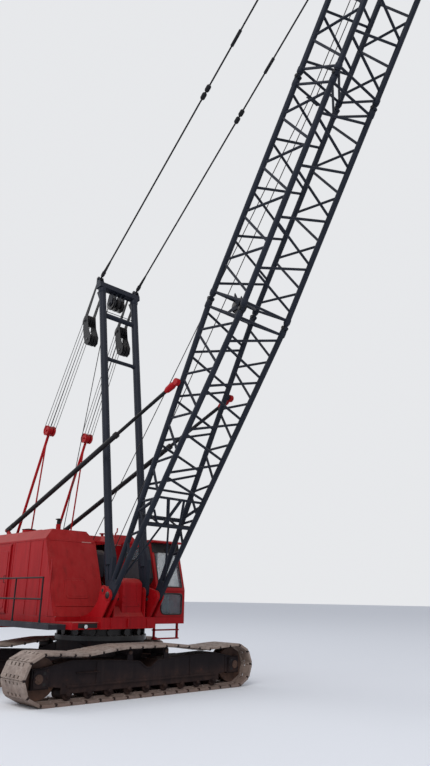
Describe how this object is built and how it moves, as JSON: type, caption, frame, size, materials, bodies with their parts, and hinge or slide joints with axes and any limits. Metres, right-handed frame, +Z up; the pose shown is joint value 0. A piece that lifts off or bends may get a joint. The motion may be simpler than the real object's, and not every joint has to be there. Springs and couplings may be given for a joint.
{
  "type": "crawler crane with lattice boom",
  "caption": "Crawler crane with a long lattice boom, a tubular live mast, a red machinery house and an offset cab on flat-shoed tracks; slews and luffs.",
  "frame": {"origin": "on the ground, on the slewing axis", "axes": "+X is the way the upper works face with the boom, +Y is the operator's left, +Z is up"},
  "size_m": [21.404, 7.2298, 26.9321],
  "materials": {
    "house_paint": "satin",
    "boom_paint": "satin",
    "dark_steel": "matte",
    "dusty_shoes": "matte",
    "bare_steel": "matte",
    "glass": "gloss",
    "seat_cloth": "matte"
  },
  "bodies": {
    "undercarriage": {"track_front": "dusty_shoes", "track_rear": "dusty_shoes", "side_frames": "dark_steel", "drive_tumblers": "dark_steel", "idlers": "dark_steel", "bottom_rollers": "dark_steel", "carrier_rollers": "dark_steel", "carbody": "dark_steel", "roller_path": "bare_steel"},
    "upper": {"swing_rollers": "bare_steel", "rotating_bed": "house_paint", "hinge_brackets": "house_paint", "counterweight": "house_paint", "engine": "bare_steel", "front_drum": "bare_steel", "rear_drum": "bare_steel", "house_right": "house_paint", "house_front": "house_paint", "house_left": "house_paint", "house_rear": "house_paint", "house_roof": "house_paint", "roof_fittings": "house_paint", "front_cover": "house_paint", "walkways": "bare_steel", "handrails": "dark_steel", "cab_shell": "house_paint", "cab_roof": "house_paint", "cab_glass": "glass", "operator_seat": "seat_cloth", "control_stand": "bare_steel", "cab_step": "house_paint", "back_hitch": "house_paint", "hitch_sheaves": "house_paint"},
    "boom": {"boom_butt": "boom_paint", "boom_insert_lower": "boom_paint", "boom_insert_upper": "boom_paint", "boom_top": "boom_paint", "point_sheaves": "dark_steel"},
    "mast": {"mast_leg_right": "boom_paint", "mast_leg_left": "boom_paint", "mast_head": "boom_paint", "mast_sheaves": "dark_steel", "pendants": "dark_steel"},
    "stop_tube_right": {"stop_tube_right": "dark_steel"},
    "stop_rod_right": {"stop_rod_right": "dark_steel"},
    "stop_tube_left": {"stop_tube_left": "dark_steel"},
    "stop_rod_left": {"stop_rod_left": "dark_steel"},
    "cab_door": {"cab_door": "house_paint", "door_glass": "glass"},
    "side_door_right": {"side_door_right": "house_paint"},
    "side_door_left": {"side_door_left": "house_paint"}
  },
  "joints": [
    {"name": "slew", "type": "hinge", "parent": "undercarriage", "child": "upper", "pos_m": [0, 0, 1.35], "axis": [0, 0, 1], "continuous": true},
    {"name": "boom_luff", "type": "hinge", "parent": "upper", "child": "boom", "pos_m": [1.5, 0, 2.38], "axis": [0, -1, 0], "range_deg": [-44, 23]},
    {"name": "mast_luff", "type": "hinge", "parent": "upper", "child": "mast", "pos_m": [1.165, 0, 2.48], "axis": [0, -1, 0], "range_deg": [-44, 23]},
    {"name": "stop_swing_right", "type": "hinge", "parent": "upper", "child": "stop_tube_right", "pos_m": [-4.45, -0.985, 4.4], "axis": [0, -1, 0], "range_deg": [-21, 11]},
    {"name": "stop_slide_right", "type": "slide", "parent": "stop_tube_right", "child": "stop_rod_right", "axis": [0.9347, 0, 0.3554], "range_m": [-1.41, 2.69]},
    {"name": "stop_swing_left", "type": "hinge", "parent": "upper", "child": "stop_tube_left", "pos_m": [-4.45, 0.985, 4.4], "axis": [0, -1, 0], "range_deg": [-21, 11]},
    {"name": "stop_slide_left", "type": "slide", "parent": "stop_tube_left", "child": "stop_rod_left", "axis": [0.9347, 0, 0.3554], "range_m": [-1.41, 2.69]},
    {"name": "cab_door_swing", "type": "hinge", "parent": "upper", "child": "cab_door", "pos_m": [-0.325, 2.0375, 2.5], "axis": [0, 0, 1], "range_deg": [0, 95]},
    {"name": "side_door_right_slide", "type": "slide", "parent": "upper", "child": "side_door_right", "axis": [-1, 0, 0], "range_m": [0, 0.76]},
    {"name": "side_door_left_slide", "type": "slide", "parent": "upper", "child": "side_door_left", "axis": [-1, 0, 0], "range_m": [0, 0.76]}
  ],
  "couplings": [
    {"joint": "mast_luff", "follows": "boom_luff", "ratio": 1},
    {"joint": "stop_swing_right", "follows": "boom_luff", "ratio": 0.475},
    {"joint": "stop_slide_right", "follows": "boom_luff", "m_per_rad": -3.5},
    {"joint": "stop_swing_left", "follows": "boom_luff", "ratio": 0.475},
    {"joint": "stop_slide_left", "follows": "boom_luff", "m_per_rad": -3.5}
  ]
}
